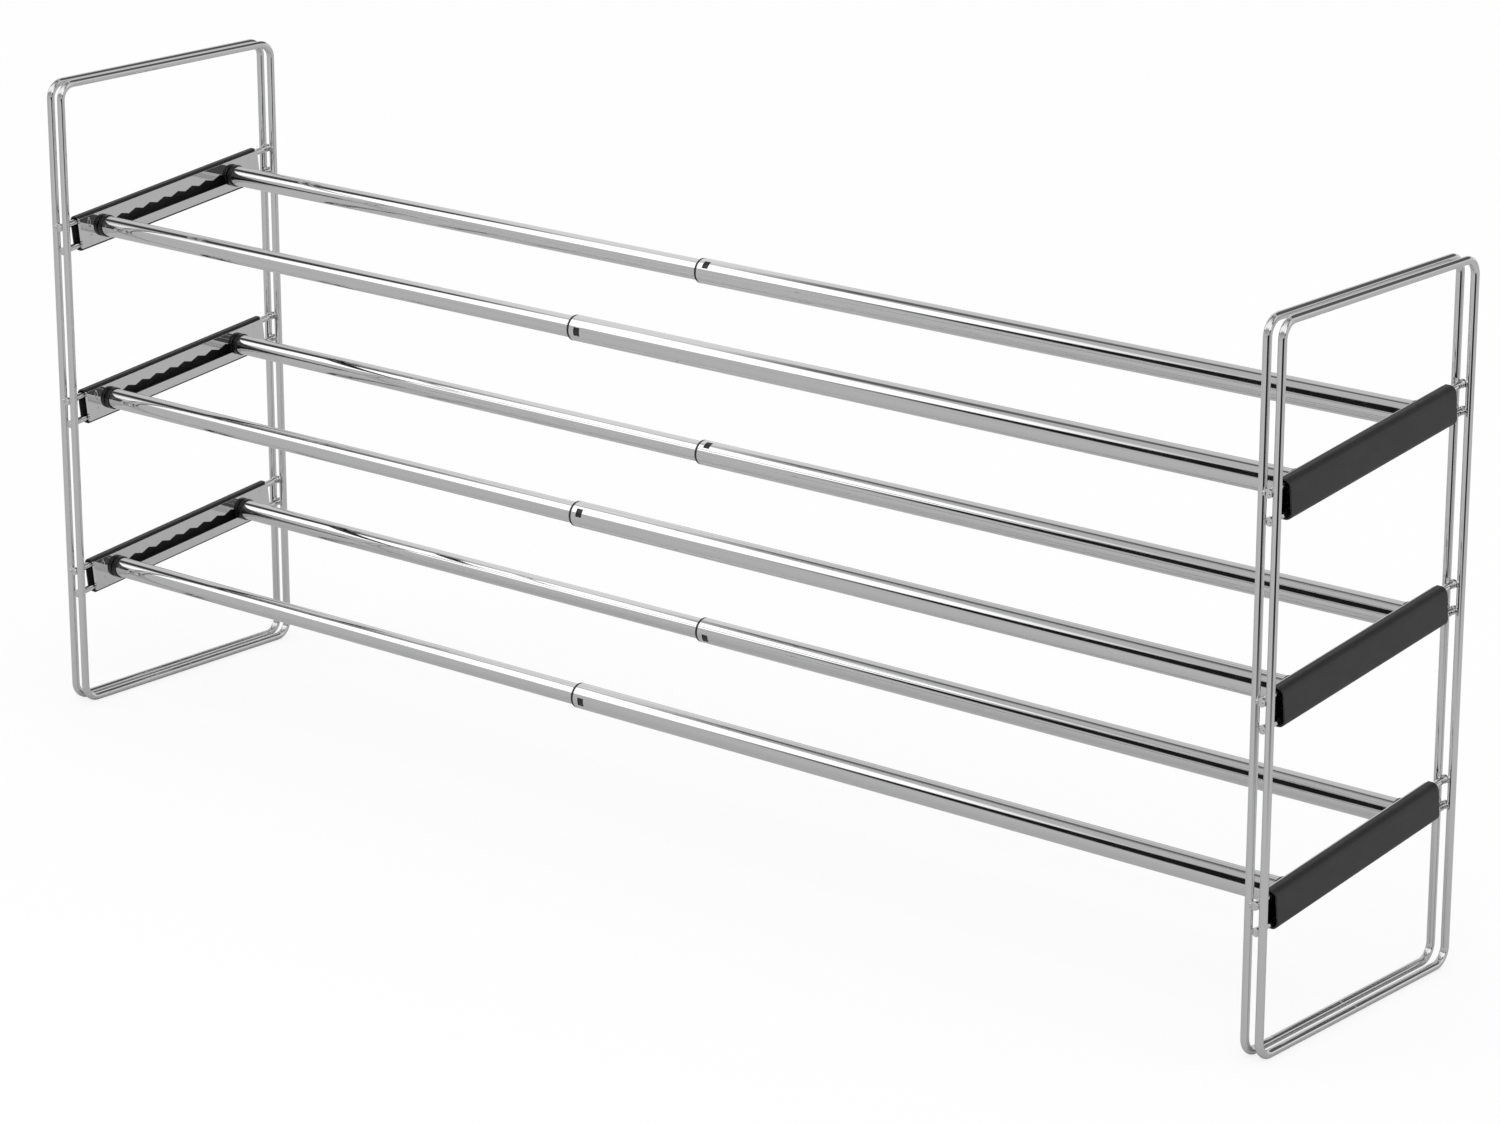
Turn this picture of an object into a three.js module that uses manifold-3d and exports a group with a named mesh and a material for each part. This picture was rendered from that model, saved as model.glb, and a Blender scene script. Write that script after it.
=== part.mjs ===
// A three-tier shoe rack that pulls out sideways. Two chromed wire end frames carry, on each
// tier, two telescopic bars whose plastic plugs click along a toothed slot in a sloping plate.
// Millimetres, +Z up. X runs along the bars, -Y is the front, and Z = 0 is the floor. The rack
// is drawn pulled out, with the origin on the floor under its middle.

import * as THREE from 'three';
import { mergeVertices } from 'three/addons/utils/BufferGeometryUtils.js';
import Module from 'manifold-3d';

const wasm = await Module();
wasm.setup();

// Driving dimensions of the end frames
const FRAME_SPACING = 1135; // between the middles of the two end frames, pulled out
const LOOP_HEIGHT = 500; // wire centre to wire centre
const LOOP_DEPTH = 225.5;
const LOOP_CORNER_RADIUS = 12;
const LOOP_WIRE_DIAMETER = 5.9;
const CROSS_WIRE_DIAMETER = 5.1;
const CROSS_WIRE_STUB = 2.25; // how far its cut ends reach past the middle of the loop wires
const CROSS_WIRE_PITCH = 19.2; // between the upper and the lower wire of one tier
const SEAM_WIDTH = 0.6; // butt seam of each loop, under the bottom wire
const SEAM_DEPTH = 0.15;

// Driving dimensions of the tiers
const TIER_PITCH = 140.1;
const LOWEST_TIER_HEIGHT = 113.2;
const TIER_TILT = THREE.MathUtils.degToRad(6.5);
const PLATE_INSET = 15.25; // from the middle of a loop's upright wire to the end of the plate
const PLATE_MARGIN = 0.25; // from the cross wires up to the plate's edge
const PLATE_THICKNESS = 2.4;
const TOOTH_PITCH = 15.4;
const SLOT_INSET = 19.5; // from the end of the plate to the end of its slot
const SLOT_FLOOR = -4.5; // straight lower edge, below the middle line of the plate
const SLOT_TIP = 1.6; // points of the teeth
const SLOT_NOTCH = 4.1; // bottoms of the notches
const COVER_REACH = 6; // from the middle of the end frame out to the cover's face
const COVER_WALL = 1.2;
const COVER_CORNER_RADIUS = 5.4;
const COVER_HOOK = 1.05;
const COVER_PLAY = 0.8; // between the cross wires and the cover over and under them

// Driving dimensions of the bars
const FRONT_BAR_INSET = 6; // from the front end of the slot to the middle of the front bar
const INNER_TUBE_DIAMETER = 15.8;
const TUBE_WALL = 0.7;
const OUTER_TUBE_MOUTH = -63; // where the outer tube begins, along X
const TUBE_OVERLAP = 88.85; // how far the inner tube reaches past that mouth, pulled out
const COLLAR_LENGTH = 1.8;
const SLEEVE_LENGTH = 24;
const SLEEVE_WALL = 0.5;
const WINDOW_LENGTH = 5.6;
const WINDOW_HEIGHT = 6.3;
const WINDOW_PLACE = 7.4; // centre of the window, from the mouth of the outer tube
const LATCH_RECESS = 0.3; // the latch lies this far below the tube's surface
const CAP_LENGTH = 4.2;
const CAP_RIM = 0.85; // the cap stands this far proud of its tube
const SHANK_LENGTH = 22;
const NECK_WIDTH = 5.6;
const HEAD_WIDTH = 14;
const HEAD_THICKNESS = 1.75;
const HEAD_PLAY = 0.75; // between the cross wires and the head between them

// Clearances
const SEAT_GAP = 0.3; // between pieces that are welded, clipped or pushed together
const SLIDE_GAP = 0.2; // between pieces that slide in each other
const WELD_GAP = 0.25; // between the loops and the cross wires that lie between them
const OVERRUN = 1; // how far a cutter reaches past what it cuts, and a joined piece into its mate

// How finely the round pieces are drawn
const WIRE_SIDES = 12;
const TUBE_SIDES = 24;
const CORNER_STEPS = 6;
const COVER_CORNER_STEPS = 5;

// Which way the latch window of each bar is turned: 0 faces the front, and 90 faces up
const WINDOW_TURNS = {
  top: { front: 0, rear: 48 },
  middle: { front: 25, rear: 60 },
  bottom: { front: -8, rear: -20 },
};

const TIERS = ['bottom', 'middle', 'top'];
const SIDES = ['left', 'right'];
const LEVELS = { upper: 1, lower: -1 };

// Sizes that follow
const FRAME_X = FRAME_SPACING / 2;
const LOOP_WIRE_RADIUS = LOOP_WIRE_DIAMETER / 2;
const CROSS_WIRE_RADIUS = CROSS_WIRE_DIAMETER / 2;
const LOOP_PITCH = LOOP_WIRE_DIAMETER + CROSS_WIRE_DIAMETER + 2 * WELD_GAP;
const CROSS_WIRE_LENGTH = LOOP_DEPTH + 2 * CROSS_WIRE_STUB;
const WIRE_SPAN = CROSS_WIRE_PITCH + CROSS_WIRE_DIAMETER; // over both cross wires of a tier
const WIRE_CLEAR = CROSS_WIRE_PITCH - CROSS_WIRE_DIAMETER; // between them
const PLATE_LENGTH = LOOP_DEPTH - 2 * PLATE_INSET;
const PLATE_HEIGHT = WIRE_SPAN + 2 * PLATE_MARGIN;
const SLOT_LENGTH = PLATE_LENGTH - 2 * SLOT_INSET;
const TOOTH_COUNT = Math.floor(SLOT_LENGTH / TOOTH_PITCH);
const LAST_NOTCH = ((TOOTH_COUNT - 1) / 2) * TOOTH_PITCH;
const BAR_PLACES = { front: FRONT_BAR_INSET - SLOT_LENGTH / 2, rear: LAST_NOTCH };
const COVER_HEIGHT = WIRE_SPAN + 2 * (COVER_PLAY + COVER_WALL);
const PLATE_OUTER_X = CROSS_WIRE_RADIUS + SEAT_GAP;
const PLATE_INNER_X = PLATE_OUTER_X + PLATE_THICKNESS;
const CAP_START_X = PLATE_INNER_X + SEAT_GAP;
const CAP_END_X = CAP_START_X + CAP_LENGTH;
const TUBE_END_X = CAP_END_X + SEAT_GAP;
const HEAD_INNER_X = PLATE_OUTER_X - SEAT_GAP;
const HEAD_OUTER_X = HEAD_INNER_X - HEAD_THICKNESS;
const HEAD_HEIGHT = WIRE_CLEAR - 2 * HEAD_PLAY;
const NECK_FLOOR = SLOT_FLOOR + SEAT_GAP;
const NECK_TOP = SLOT_TIP - SEAT_GAP;
const INNER_TUBE_LENGTH = FRAME_X - TUBE_END_X + OUTER_TUBE_MOUTH + TUBE_OVERLAP;
const SLEEVE_INNER_RADIUS = INNER_TUBE_DIAMETER / 2 + SLIDE_GAP;
const SLEEVE_OUTER_RADIUS = SLEEVE_INNER_RADIUS + SLEEVE_WALL;
const OUTER_TUBE_DIAMETER = 2 * (SLEEVE_OUTER_RADIUS + SLIDE_GAP + TUBE_WALL);

const chrome = new THREE.MeshStandardMaterial({ color: 0xc9cacc, metalness: 1, roughness: 0.12 });
const blackPlastic = new THREE.MeshStandardMaterial({ color: 0x232325, metalness: 0, roughness: 0.55 });

// A circle drawn with flats: its flats lie on the true radius, and one of them faces each axis.
function flatSidedRadius(radius, sides) {
  return radius / Math.cos(Math.PI / sides);
}

function roundSection(radius, sides) {
  const corner = flatSidedRadius(radius, sides);
  const points = [];
  for (let i = 0; i < sides; i += 1) {
    const angle = ((i + 0.5) * 2 * Math.PI) / sides;
    points.push(new THREE.Vector2(corner * Math.cos(angle), corner * Math.sin(angle)));
  }
  return new THREE.Shape(points);
}

// A turned piece along X. Each point of its profile is (radius, place along X).
function turned(profile, sides) {
  const halfSide = Math.PI / sides;
  const points = profile.map(([radius, x]) => new THREE.Vector2(flatSidedRadius(radius, sides), x));
  const geometry = new THREE.LatheGeometry(points, sides, halfSide);
  geometry.rotateZ(-Math.PI / 2);
  return geometry;
}

// A flat outline, drawn in the plane of the tier's end plate, made thick along X.
const outlineToPlate = new THREE.Matrix4().makeBasis(
  new THREE.Vector3(0, 1, 0),
  new THREE.Vector3(0, 0, 1),
  new THREE.Vector3(1, 0, 0),
);

// The cover's section, drawn across the wires, made long along them.
const sectionToCover = new THREE.Matrix4().makeBasis(
  new THREE.Vector3(-1, 0, 0),
  new THREE.Vector3(0, 0, 1),
  new THREE.Vector3(0, 1, 0),
);

function plateLike(shape, thickness, startX) {
  const geometry = new THREE.ExtrudeGeometry(shape, { depth: thickness, bevelEnabled: false });
  geometry.applyMatrix4(outlineToPlate);
  geometry.translate(startX, 0, 0);
  return geometry;
}

function solid(geometry) {
  const bare = geometry.clone();
  bare.deleteAttribute('normal');
  bare.deleteAttribute('uv');
  const merged = mergeVertices(bare);
  return new wasm.Manifold(
    new wasm.Mesh({
      numProp: 3,
      vertProperties: merged.attributes.position.array,
      triVerts: new Uint32Array(merged.index.array),
    }),
  );
}

function geometryOf(body) {
  const mesh = body.getMesh();
  const geometry = new THREE.BufferGeometry();
  geometry.setAttribute('position', new THREE.BufferAttribute(mesh.vertProperties, 3));
  geometry.setIndex(new THREE.BufferAttribute(mesh.triVerts, 1));
  const facets = geometry.toNonIndexed();
  facets.computeVertexNormals();
  return facets;
}

function piece(name, geometry, material) {
  const mesh = new THREE.Mesh(geometry, material);
  mesh.name = name;
  return mesh;
}

// The way round a wire loop, in the YZ plane: it starts at the seam in the middle of the
// bottom wire, runs to the rear, up, forward and down, and ends at the other side of the seam.
class LoopPath extends THREE.Curve {
  constructor() {
    super();
    const straightY = LOOP_DEPTH / 2 - LOOP_CORNER_RADIUS;
    const straightZ = LOOP_HEIGHT / 2 - LOOP_CORNER_RADIUS;
    const corners = [[1, -1], [1, 1], [-1, 1], [-1, -1]];
    this.stops = [new THREE.Vector3(0, SEAM_WIDTH / 2, -LOOP_HEIGHT / 2)];
    corners.forEach(([signY, signZ], quarter) => {
      for (let step = 0; step <= CORNER_STEPS; step += 1) {
        const angle = ((quarter - 1 + step / CORNER_STEPS) * Math.PI) / 2;
        const y = signY * straightY + LOOP_CORNER_RADIUS * Math.cos(angle);
        const z = signZ * straightZ + LOOP_CORNER_RADIUS * Math.sin(angle);
        this.stops.push(new THREE.Vector3(0, y, z));
      }
    });
    this.stops.push(new THREE.Vector3(0, -SEAM_WIDTH / 2, -LOOP_HEIGHT / 2));
    this.steps = this.stops.length - 1;
  }

  // Each step of the sweep is one stop, so the rings stand at the ends of the bends.
  getUtoTmapping(u) {
    return u;
  }

  getPoint(t, target = new THREE.Vector3()) {
    const along = Math.min(t * this.steps, this.steps);
    const before = Math.min(Math.floor(along), this.steps - 1);
    return target.lerpVectors(this.stops[before], this.stops[before + 1], along - before);
  }

  // The wire's direction at a stop: along the straight at the ends of a bend, and square to
  // the bend's radius inside it.
  getTangent(t, target = new THREE.Vector3()) {
    const stop = Math.round(t * this.steps);
    const inBends = stop - 1;
    const perBend = CORNER_STEPS + 1;
    if (inBends < 0 || stop === this.steps) {
      return target.set(0, 1, 0);
    }
    const quarter = Math.floor(inBends / perBend);
    const step = inBends - quarter * perBend;
    const angle = ((quarter + step / CORNER_STEPS) * Math.PI) / 2;
    return target.set(0, Math.cos(angle), Math.sin(angle));
  }
}

function wireLoopGeometry() {
  const path = new LoopPath();
  const wire = new THREE.ExtrudeGeometry(roundSection(LOOP_WIRE_RADIUS, WIRE_SIDES), {
    steps: path.steps,
    extrudePath: path,
  });
  const seamHalf = SEAM_WIDTH / 2 + OVERRUN;
  const seamRadius = LOOP_WIRE_RADIUS - SEAM_DEPTH;
  const seam = turned([[0, -seamHalf], [seamRadius, -seamHalf], [seamRadius, seamHalf], [0, seamHalf]],
    WIRE_SIDES);
  seam.rotateZ(Math.PI / 2);
  seam.translate(0, 0, -LOOP_HEIGHT / 2);
  return geometryOf(solid(wire).add(solid(seam)));
}

// A straight wire along the slope of the tier, with its cut ends slightly chamfered.
function crossWireGeometry() {
  const end = CROSS_WIRE_LENGTH / 2;
  const chamfer = CROSS_WIRE_RADIUS / 6;
  const rim = CROSS_WIRE_RADIUS - chamfer;
  const geometry = turned(
    [
      [0, -end],
      [rim, -end],
      [CROSS_WIRE_RADIUS, chamfer - end],
      [CROSS_WIRE_RADIUS, end - chamfer],
      [rim, end],
      [0, end],
    ],
    WIRE_SIDES,
  );
  geometry.rotateZ(Math.PI / 2);
  return geometry;
}

// The chromed plate inside each pair of cross wires. The slot's lower edge is straight, and
// its upper edge is a row of teeth that hold the bars at equal steps.
function slotPlateGeometry() {
  const halfLength = PLATE_LENGTH / 2;
  const halfHeight = PLATE_HEIGHT / 2;
  const outline = new THREE.Shape();
  outline.moveTo(-halfLength, -halfHeight);
  outline.lineTo(halfLength, -halfHeight);
  outline.lineTo(halfLength, halfHeight);
  outline.lineTo(-halfLength, halfHeight);
  outline.closePath();

  const slotHalf = SLOT_LENGTH / 2;
  const slot = new THREE.Path();
  slot.moveTo(-slotHalf, SLOT_FLOOR);
  slot.lineTo(-slotHalf, SLOT_TIP);
  for (let notch = 0; notch < TOOTH_COUNT; notch += 1) {
    const middle = notch * TOOTH_PITCH - LAST_NOTCH;
    slot.lineTo(middle - TOOTH_PITCH / 2, SLOT_TIP);
    slot.lineTo(middle, SLOT_NOTCH);
  }
  slot.lineTo(LAST_NOTCH + TOOTH_PITCH / 2, SLOT_TIP);
  slot.lineTo(slotHalf, SLOT_TIP);
  slot.lineTo(slotHalf, SLOT_FLOOR);
  slot.closePath();
  outline.holes.push(slot);
  return plateLike(outline, PLATE_THICKNESS, PLATE_OUTER_X);
}

// The points of a quarter of a circle, turning from one right angle to another.
function quarterArc(x, y, radius, fromQuarter, toQuarter) {
  const points = [];
  for (let step = 0; step <= COVER_CORNER_STEPS; step += 1) {
    const turn = fromQuarter + ((toQuarter - fromQuarter) * step) / COVER_CORNER_STEPS;
    const angle = (turn * Math.PI) / 2;
    points.push(new THREE.Vector2(x + radius * Math.cos(angle), y + radius * Math.sin(angle)));
  }
  return points;
}

// The black plastic channel that snaps over both cross wires from outside. Its section is
// drawn in the plane across the wires: (outward from the frame's middle, across the plate).
// Each lip ends in a small hook.
function coverGeometry() {
  const top = COVER_HEIGHT / 2;
  const innerTop = top - COVER_WALL;
  const innerWall = COVER_REACH - COVER_WALL;
  const innerRadius = COVER_CORNER_RADIUS - COVER_WALL;
  const outerCentre = [COVER_REACH - COVER_CORNER_RADIUS, top - COVER_CORNER_RADIUS];
  const innerCentre = [innerWall - innerRadius, innerTop - innerRadius];
  const lipEnd = -HEAD_INNER_X;
  const point = (x, y) => new THREE.Vector2(x, y);
  const section = new THREE.Shape([
    point(lipEnd, -top),
    ...quarterArc(outerCentre[0], -outerCentre[1], COVER_CORNER_RADIUS, -1, 0),
    ...quarterArc(outerCentre[0], outerCentre[1], COVER_CORNER_RADIUS, 0, 1),
    point(lipEnd, top),
    point(lipEnd, innerTop - COVER_HOOK),
    point(lipEnd + COVER_HOOK, innerTop),
    ...quarterArc(innerCentre[0], innerCentre[1], innerRadius, 1, 0),
    ...quarterArc(innerCentre[0], -innerCentre[1], innerRadius, 0, -1),
    point(lipEnd + COVER_HOOK, -innerTop),
    point(lipEnd, COVER_HOOK - innerTop),
  ]);
  const geometry = new THREE.ExtrudeGeometry(section, { depth: PLATE_LENGTH, bevelEnabled: false });
  geometry.translate(0, 0, -PLATE_LENGTH / 2);
  geometry.applyMatrix4(sectionToCover);
  return geometry;
}

// The plastic end of a bar: a shank in the tube, a cap against its end, a neck through the
// slot and a flat head behind the plate that keeps the bar from coming out.
function plugGeometry(tubeDiameter) {
  const capRadius = tubeDiameter / 2 + CAP_RIM;
  const shankRadius = tubeDiameter / 2 - TUBE_WALL - SEAT_GAP;
  const shankEnd = CAP_END_X + SHANK_LENGTH;
  const capAndShank = turned(
    [
      [0, CAP_START_X],
      [capRadius, CAP_START_X],
      [capRadius, CAP_END_X],
      [shankRadius, CAP_END_X],
      [shankRadius, shankEnd],
      [0, shankEnd],
    ],
    TUBE_SIDES,
  );
  const neckHeight = NECK_TOP - NECK_FLOOR;
  const neckLength = CAP_START_X + OVERRUN - HEAD_OUTER_X;
  const neck = new THREE.BoxGeometry(neckLength, NECK_WIDTH, neckHeight);
  neck.translate(HEAD_OUTER_X + neckLength / 2, 0, NECK_FLOOR + neckHeight / 2);
  const head = new THREE.BoxGeometry(HEAD_THICKNESS, HEAD_WIDTH, HEAD_HEIGHT);
  head.translate(HEAD_OUTER_X + HEAD_THICKNESS / 2, 0, 0);
  return geometryOf(solid(capAndShank).add(solid(neck)).add(solid(head)));
}

function tubeGeometry(diameter, length) {
  const outer = diameter / 2;
  const inner = outer - TUBE_WALL;
  return turned([[inner, 0], [outer, 0], [outer, length], [inner, length], [inner, 0]], TUBE_SIDES);
}

// A block that reaches out from the tube's axis to one side, where the latch window is.
function windowBlock(length, height, innerRadius, outerRadius, turn) {
  const block = new THREE.BoxGeometry(length, outerRadius - innerRadius, height);
  block.translate(OUTER_TUBE_MOUTH + WINDOW_PLACE, -(innerRadius + outerRadius) / 2, 0);
  block.rotateX(-THREE.MathUtils.degToRad(turn) - TIER_TILT);
  return block;
}

function outerTubeGeometry(turn) {
  const length = FRAME_X - TUBE_END_X - OUTER_TUBE_MOUTH;
  const tube = tubeGeometry(OUTER_TUBE_DIAMETER, length);
  tube.translate(OUTER_TUBE_MOUTH, 0, 0);
  const radius = OUTER_TUBE_DIAMETER / 2;
  const cutter = windowBlock(WINDOW_LENGTH, WINDOW_HEIGHT, radius - TUBE_WALL - OVERRUN,
    radius + OVERRUN, turn);
  return geometryOf(solid(tube).subtract(solid(cutter)));
}

// The black ring at the outer tube's mouth. Its thin sleeve lines the mouth, so the inner tube
// runs on plastic, and a latch on the sleeve stands in the window of the tube.
function collarGeometry(turn) {
  const ringStart = OUTER_TUBE_MOUTH - COLLAR_LENGTH - SEAT_GAP;
  const ringEnd = OUTER_TUBE_MOUTH - SEAT_GAP;
  const sleeveEnd = OUTER_TUBE_MOUTH + SLEEVE_LENGTH;
  const ringRadius = OUTER_TUBE_DIAMETER / 2;
  const ring = turned(
    [
      [SLEEVE_INNER_RADIUS, ringStart],
      [ringRadius, ringStart],
      [ringRadius, ringEnd],
      [SLEEVE_OUTER_RADIUS, ringEnd],
      [SLEEVE_OUTER_RADIUS, sleeveEnd],
      [SLEEVE_INNER_RADIUS, sleeveEnd],
      [SLEEVE_INNER_RADIUS, ringStart],
    ],
    TUBE_SIDES,
  );
  const sleeveMiddle = (SLEEVE_INNER_RADIUS + SLEEVE_OUTER_RADIUS) / 2;
  const block = windowBlock(WINDOW_LENGTH - 2 * SEAT_GAP, WINDOW_HEIGHT - 2 * SEAT_GAP, sleeveMiddle,
    ringRadius + OVERRUN, turn);
  const latchRadius = ringRadius - LATCH_RECESS;
  const round = turned([[0, ringStart], [latchRadius, ringStart], [latchRadius, sleeveEnd], [0, sleeveEnd]],
    TUBE_SIDES);
  const latch = solid(block).intersect(solid(round));
  return geometryOf(solid(ring).add(latch));
}

const loopShape = wireLoopGeometry();
const crossWireShape = crossWireGeometry();
const slotPlateShape = slotPlateGeometry();
const coverShape = coverGeometry();
const innerTubeShape = tubeGeometry(INNER_TUBE_DIAMETER, INNER_TUBE_LENGTH);
const plugShapes = {
  left: plugGeometry(INNER_TUBE_DIAMETER),
  right: plugGeometry(OUTER_TUBE_DIAMETER),
};

// Stands a group at one end of the rack, with its own +X toward the middle of the rack.
function endGroup(side) {
  const end = new THREE.Group();
  const outward = side === 'left' ? -1 : 1;
  end.position.x = outward * FRAME_X;
  end.rotation.z = side === 'left' ? 0 : Math.PI;
  return end;
}

function addLoops(rack, side) {
  const end = endGroup(side);
  Object.entries({ outer: -1, inner: 1 }).forEach(([place, sign]) => {
    const loop = piece(`${side}_${place}_loop`, loopShape, chrome);
    loop.position.set((sign * LOOP_PITCH) / 2, 0, LOOP_HEIGHT / 2 + LOOP_WIRE_RADIUS);
    end.add(loop);
  });
  rack.add(end);
}

function addTierEnd(slope, tier, side) {
  const end = endGroup(side);
  Object.entries(LEVELS).forEach(([level, sign]) => {
    const wire = piece(`${side}_${tier}_${level}_cross_wire`, crossWireShape, chrome);
    wire.position.z = (sign * CROSS_WIRE_PITCH) / 2;
    end.add(wire);
  });
  end.add(piece(`${side}_${tier}_slot_plate`, slotPlateShape, chrome));
  end.add(piece(`${side}_${tier}_cover`, coverShape, blackPlastic));
  slope.add(end);
}

function addBar(slope, tier, row) {
  const bar = new THREE.Group();
  bar.position.y = BAR_PLACES[row];
  const turn = WINDOW_TURNS[tier][row];
  SIDES.forEach((side) => {
    const end = endGroup(side);
    end.add(piece(`${tier}_${row}_${side}_plug`, plugShapes[side], blackPlastic));
    bar.add(end);
  });
  const innerTube = piece(`${tier}_${row}_inner_tube`, innerTubeShape, chrome);
  innerTube.position.x = TUBE_END_X - FRAME_X;
  bar.add(innerTube);
  bar.add(piece(`${tier}_${row}_outer_tube`, outerTubeGeometry(turn), chrome));
  bar.add(piece(`${tier}_${row}_collar`, collarGeometry(turn), blackPlastic));
  slope.add(bar);
}

const rack = new THREE.Group();
SIDES.forEach((side) => addLoops(rack, side));
TIERS.forEach((tier, step) => {
  const slope = new THREE.Group();
  slope.position.z = LOWEST_TIER_HEIGHT + step * TIER_PITCH;
  slope.rotation.x = TIER_TILT;
  SIDES.forEach((side) => addTierEnd(slope, tier, side));
  Object.keys(BAR_PLACES).forEach((row) => addBar(slope, tier, row));
  rack.add(slope);
});

export default rack;
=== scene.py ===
# %% [markdown]
# # A pull out shoe rack, dressed piece by piece
#
# The rack has two end frames of chromed wire. Six bars join them, two to a tier, and each bar
# is a thin tube that slides in a wider one. A measured model of it already exists, made of
# plain solids.
#
# Such a model has few faces. In grey that looks round enough, but bright metal shows every flat
# face as a stripe. So each solid gets a finer piece here, built at exactly the place that the
# model gives, and the rack is then photographed in a small studio.

import math

import bmesh
import bpy
from mathutils import Matrix, Vector


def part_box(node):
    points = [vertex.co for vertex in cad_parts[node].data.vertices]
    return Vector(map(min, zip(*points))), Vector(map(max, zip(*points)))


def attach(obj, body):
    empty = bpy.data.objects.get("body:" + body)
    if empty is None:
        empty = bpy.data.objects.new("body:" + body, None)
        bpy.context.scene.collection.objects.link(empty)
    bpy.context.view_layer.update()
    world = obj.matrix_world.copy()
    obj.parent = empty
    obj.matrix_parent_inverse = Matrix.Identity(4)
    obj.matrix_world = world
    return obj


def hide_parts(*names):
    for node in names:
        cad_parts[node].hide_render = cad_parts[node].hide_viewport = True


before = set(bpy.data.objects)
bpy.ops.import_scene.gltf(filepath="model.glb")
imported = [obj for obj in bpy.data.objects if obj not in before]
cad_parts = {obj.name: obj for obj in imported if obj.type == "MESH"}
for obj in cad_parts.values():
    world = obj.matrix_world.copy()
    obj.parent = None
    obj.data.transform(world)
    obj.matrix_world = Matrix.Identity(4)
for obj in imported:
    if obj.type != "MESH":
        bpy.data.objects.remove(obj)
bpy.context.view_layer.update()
MM = 0.001  # Blender works in metres, and this rack is easier to think of in millimetres

print("Solids loaded:", len(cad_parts))

# %% [markdown]
# ## The camera
#
# The rack was photographed from its right, from a little above and from far away. A long lens
# from far away keeps the two end frames nearly the same size. The camera's place, turn and
# lens were worked out from the corners of the end frames in the picture.

# %% Set up the camera
camera = bpy.data.objects.new("Camera", bpy.data.cameras.new("Camera"))
bpy.context.scene.collection.objects.link(camera)
bpy.context.scene.camera = camera

LOOKS_DOWN = math.radians(17.23)
LOOKS_LEFT = math.radians(40.20)
camera.location = (2.226, -2.587, 1.262)
camera.rotation_euler = (math.pi / 2 - LOOKS_DOWN, 0, LOOKS_LEFT)
camera.data.sensor_width = 36
camera.data.lens = 116.6
camera.data.clip_start = 0.05
camera.data.clip_end = 200
print("Camera at", [round(x, 2) for x in camera.location], "with a lens of", camera.data.lens)

# %% [markdown]
# ## Small tools for node trees
#
# A material or a sky in Blender is a tree of nodes. Long trees are hard to read in code, so
# three small helpers add the nodes that come back all the time: one does a sum, one fades from
# one value to another, and one lays a value over another through a mask.

# %% Helpers for nodes
def connect(tree, socket, value):
    """Sets a socket to a number, or links it to another node's output."""
    if isinstance(value, (int, float)):
        socket.default_value = value
    else:
        tree.links.new(value, socket)


def calculate(tree, operation, *values):
    node = tree.nodes.new("ShaderNodeMath")
    node.operation = operation
    for socket, value in zip(node.inputs, values):
        connect(tree, socket, value)
    return node.outputs[0]


def fade(tree, value, start, end, low=0.0, high=1.0):
    """Gives low where the value is at start, high where it is at end, and is smooth between."""
    node = tree.nodes.new("ShaderNodeMapRange")
    node.interpolation_type = "SMOOTHSTEP"
    for socket, number in zip(node.inputs, (value, start, end, low, high)):
        connect(tree, socket, number)
    return node.outputs[0]


def lay_over(tree, mask, below, above):
    node = tree.nodes.new("ShaderNodeMix")
    connect(tree, node.inputs[0], mask)
    connect(tree, node.inputs[2], below)
    connect(tree, node.inputs[3], above)
    return node.outputs[0]


print("Node helpers are ready")

# %% [markdown]
# ## The studio around the rack
#
# Chrome has no colour of its own. All that it shows is the room, so the room has to be built
# with care. Three kinds of rays get three rooms, which the Light Path node tells apart:
#
# - What the camera sees directly is plain white.
# - What lights the rack is one even level of light from all round, so colours stay true.
# - What the metal reflects is a photographer's studio: a white wall behind the rack, a row of
#   soft lamps above its front, and black cards that give the bright tubes their dark lines.
#
# One more card, at the right, is there only for rays that were reflected twice. It keeps the
# bars dark where an end plate mirrors them, and leaves the bars themselves bright. Ray Depth
# tells such rays apart. In a sky it reads 2 after one reflection and 3 after two.
#
# The room is drawn from the direction alone. For a bar along X, two numbers describe where a
# reflection looks: how far along X it leans, and how far it is turned round the bar, from 0 at
# the front over 90 straight up to 180 at the back.

# %% Directions in the studio
world = bpy.data.worlds.new("Studio")
bpy.context.scene.world = world
world.use_nodes = True
sky = world.node_tree
sky.nodes.clear()

rays = sky.nodes.new("ShaderNodeLightPath").outputs
direction = sky.nodes.new("ShaderNodeSeparateXYZ")
coordinates = sky.nodes.new("ShaderNodeTexCoord")
sky.links.new(coordinates.outputs["Generated"], direction.inputs[0])
along, depth, height = direction.outputs

turn = calculate(sky, "ARCTAN2", height, calculate(sky, "MULTIPLY", depth, -1))
turn = calculate(sky, "DEGREES", turn)

# Soft lamps stand in a row along X. "lean" is 0 at the middle of a lamp and 0.57 between two.
LAMP_MIDDLE = 0.642
LAMP_SPACING = 0.25
LAMP_REACH = 0.22
from_lamp = calculate(sky, "ADD", along, LAMP_MIDDLE)
lean = calculate(sky, "PINGPONG", from_lamp, LAMP_SPACING / 2)
lean = calculate(sky, "DIVIDE", lean, LAMP_REACH)
side = calculate(sky, "FRACT", calculate(sky, "DIVIDE", from_lamp, 2 * LAMP_SPACING))
right_side = calculate(sky, "LESS_THAN", side, 0.5)
left_side = calculate(sky, "SUBTRACT", 1, right_side)
print("Lamps stand every", LAMP_SPACING, "along X")

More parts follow.
